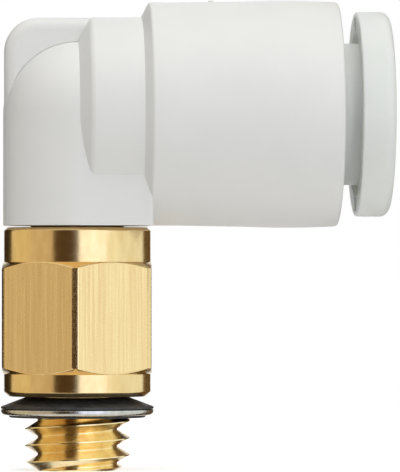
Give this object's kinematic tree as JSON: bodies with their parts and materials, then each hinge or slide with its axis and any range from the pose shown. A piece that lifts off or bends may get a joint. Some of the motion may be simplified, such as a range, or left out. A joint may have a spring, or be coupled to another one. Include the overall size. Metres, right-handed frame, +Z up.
{
  "type": "male elbow fitting",
  "caption": "Push-in male elbow fitting: swivelling white resin elbow with release collar on a brass hexagon stud with a short thread and a gasket.",
  "frame": {"origin": "on the thread axis, level with the port face that the gasket's underside seals on", "axes": "+Z up along the thread axis away from the port, +X along the tube axis out of the release collar, +Y completing the right-handed set"},
  "size_m": [0.0183, 0.0108, 0.0222],
  "materials": {
    "white_resin": "satin moulded resin, white",
    "collar_resin": "satin moulded resin, pale cool grey",
    "inner_resin": "moulded resin, natural",
    "brass": "bright turned brass with drawn-bar grain on the flats",
    "spring_steel": "bright pressed stainless",
    "gasket_steel": "stainless ring, rounded edge",
    "gasket_rubber": "black nitrile, moulded",
    "seal_rubber": "black nitrile"
  },
  "bodies": {
    "stud": {"threaded_stud": "brass", "gasket_ring": "gasket_steel", "gasket_rubber": "gasket_rubber", "stud_o_ring": "seal_rubber"},
    "elbow": {"elbow_body": "white_resin", "tube_seal": "seal_rubber", "guide_sleeve": "spring_steel", "collet": "inner_resin"},
    "grip": {"chuck": "spring_steel"},
    "release": {"release_collar": "collar_resin"}
  },
  "joints": [
    {"name": "elbow_swivel", "type": "hinge", "parent": "stud", "child": "elbow", "pos_m": [0, 0, 0.01007], "axis": [0, 0, 1], "continuous": true},
    {"name": "grip_spin", "type": "hinge", "parent": "elbow", "child": "grip", "pos_m": [0.0088, 0, 0.01432], "axis": [1, 0, 0], "continuous": true},
    {"name": "release_push", "type": "slide", "parent": "grip", "child": "release", "axis": [-1, 0, 0], "range_m": [0, 0.0008], "stiffness_N_per_m": 100, "springref_m": -0.0005}
  ]
}
